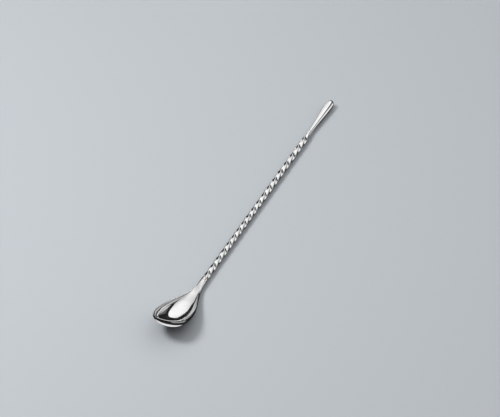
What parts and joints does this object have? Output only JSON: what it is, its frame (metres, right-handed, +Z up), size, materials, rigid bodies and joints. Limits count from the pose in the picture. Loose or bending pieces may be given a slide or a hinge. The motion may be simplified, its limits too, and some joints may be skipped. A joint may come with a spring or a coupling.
{
  "type": "bar spoon",
  "caption": "Polished steel bar spoon with a teardrop bowl, a left-hand twisted stem and a slender teardrop weight at the end.",
  "frame": {"origin": "on the resting plane, midway between the bowl's tip and the weight's domed end, on the spoon's centre line", "axes": "+X along the stem from the bowl to the weight, +Y across the bowl, +Z up out of the bowl's hollow"},
  "size_m": [0.33, 0.027, 0.0188],
  "materials": {
    "bowl": "mirror-polished stainless steel",
    "bowl_braze_ring": "polished silver braze filler",
    "twisted_stem": "polished stainless steel bar",
    "weight_braze_ring": "polished silver braze filler",
    "teardrop_weight": "mirror-polished turned stainless steel"
  },
  "bodies": {
    "root": {"bowl": "bowl", "bowl_braze_ring": "bowl_braze_ring", "twisted_stem": "twisted_stem", "weight_braze_ring": "weight_braze_ring", "teardrop_weight": "teardrop_weight"}
  },
  "joints": []
}
